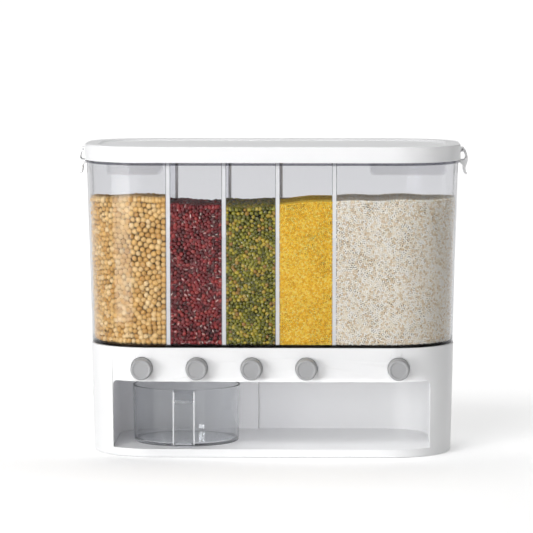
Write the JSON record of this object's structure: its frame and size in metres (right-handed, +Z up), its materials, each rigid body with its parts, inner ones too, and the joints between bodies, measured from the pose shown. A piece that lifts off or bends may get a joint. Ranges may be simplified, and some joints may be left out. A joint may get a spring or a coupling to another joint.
{
  "type": "cereal dispenser",
  "caption": "Countertop cereal and grain dispenser with a clear divided bin, press buttons over a serving bay, a latched lid and a measuring cup.",
  "frame": {"origin": "centre of the bounding box's bottom face, on the surface that the feet stand on", "axes": "+X along the row of compartments towards the viewer's right, +Y to the back, +Z up; the buttons and the serving bay face -Y"},
  "size_m": [0.3854, 0.181, 0.304],
  "materials": {
    "white_plastic": "satin",
    "grey_plastic": "satin",
    "clear_plastic": "gloss",
    "frosted_plastic": "satin",
    "silicone": "matte",
    "foot_rubber": "matte",
    "steel": "satin",
    "soybeans": "satin",
    "adzuki_beans": "satin",
    "mung_beans": "satin",
    "millet": "matte",
    "white_sesame": "matte"
  },
  "bodies": {
    "housing": {"base_shell": "white_plastic", "serving_bay": "white_plastic", "outlet_deck": "white_plastic", "bottom_cover": "white_plastic", "foot_rear_left": "foot_rubber", "foot_front_left": "foot_rubber", "foot_rear_right": "foot_rubber", "foot_front_right": "foot_rubber", "screw_rear_left": "steel", "screw_front_left": "steel", "screw_rear_right": "steel", "screw_front_right": "steel", "hopper_1": "white_plastic", "hopper_2": "white_plastic", "hopper_3": "white_plastic", "hopper_4": "white_plastic", "hopper_5": "white_plastic", "bin_shell": "clear_plastic", "divider_1": "clear_plastic", "divider_2": "clear_plastic", "divider_3": "clear_plastic", "divider_4": "clear_plastic", "grain_1": "soybeans", "grain_2": "adzuki_beans", "grain_3": "mung_beans", "grain_4": "millet", "grain_5": "white_sesame", "spring_1": "steel", "spring_2": "steel", "spring_3": "steel", "spring_4": "steel", "spring_5": "steel"},
    "press_1": {"button_1": "grey_plastic", "gate_1": "white_plastic"},
    "press_2": {"button_2": "grey_plastic", "gate_2": "white_plastic"},
    "press_3": {"button_3": "grey_plastic", "gate_3": "white_plastic"},
    "press_4": {"button_4": "grey_plastic", "gate_4": "white_plastic"},
    "press_5": {"button_5": "grey_plastic", "gate_5": "white_plastic"},
    "lid": {"lid": "white_plastic", "lid_gasket": "silicone", "desiccant_box_left": "frosted_plastic", "desiccant_box_right": "frosted_plastic", "latch_pin_left": "steel", "latch_pin_right": "steel"},
    "latch_left": {"latch_left": "white_plastic"},
    "latch_right": {"latch_right": "white_plastic"},
    "cup": {"measuring_cup": "clear_plastic"}
  },
  "joints": [
    {"name": "press_1", "type": "slide", "parent": "housing", "child": "press_1", "axis": [0, 1, 0], "range_m": [0, 0.011], "stiffness_N_per_m": 300, "springref_m": -0.004, "deforming": ["spring_1"]},
    {"name": "press_2", "type": "slide", "parent": "housing", "child": "press_2", "axis": [0, 1, 0], "range_m": [0, 0.011], "stiffness_N_per_m": 300, "springref_m": -0.004, "deforming": ["spring_2"]},
    {"name": "press_3", "type": "slide", "parent": "housing", "child": "press_3", "axis": [0, 1, 0], "range_m": [0, 0.011], "stiffness_N_per_m": 300, "springref_m": -0.004, "deforming": ["spring_3"]},
    {"name": "press_4", "type": "slide", "parent": "housing", "child": "press_4", "axis": [0, 1, 0], "range_m": [0, 0.011], "stiffness_N_per_m": 300, "springref_m": -0.004, "deforming": ["spring_4"]},
    {"name": "press_5", "type": "slide", "parent": "housing", "child": "press_5", "axis": [0, 1, 0], "range_m": [0, 0.011], "stiffness_N_per_m": 300, "springref_m": -0.004, "deforming": ["spring_5"]},
    {"name": "lid_lift", "type": "slide", "parent": "housing", "child": "lid", "axis": [0, 0, 1], "range_m": [0, 0.12]},
    {"name": "latch_left_swing", "type": "hinge", "parent": "lid", "child": "latch_left", "pos_m": [-0.1874, 0.003, 0.2976], "axis": [0, 1, 0], "range_deg": [0, 105]},
    {"name": "latch_right_swing", "type": "hinge", "parent": "lid", "child": "latch_right", "pos_m": [0.1874, 0.003, 0.2976], "axis": [0, -1, 0], "range_deg": [0, 105]},
    {"name": "cup_slide", "type": "slide", "parent": "housing", "child": "cup", "axis": [0, -1, 0], "range_m": [0, 0.14]}
  ]
}
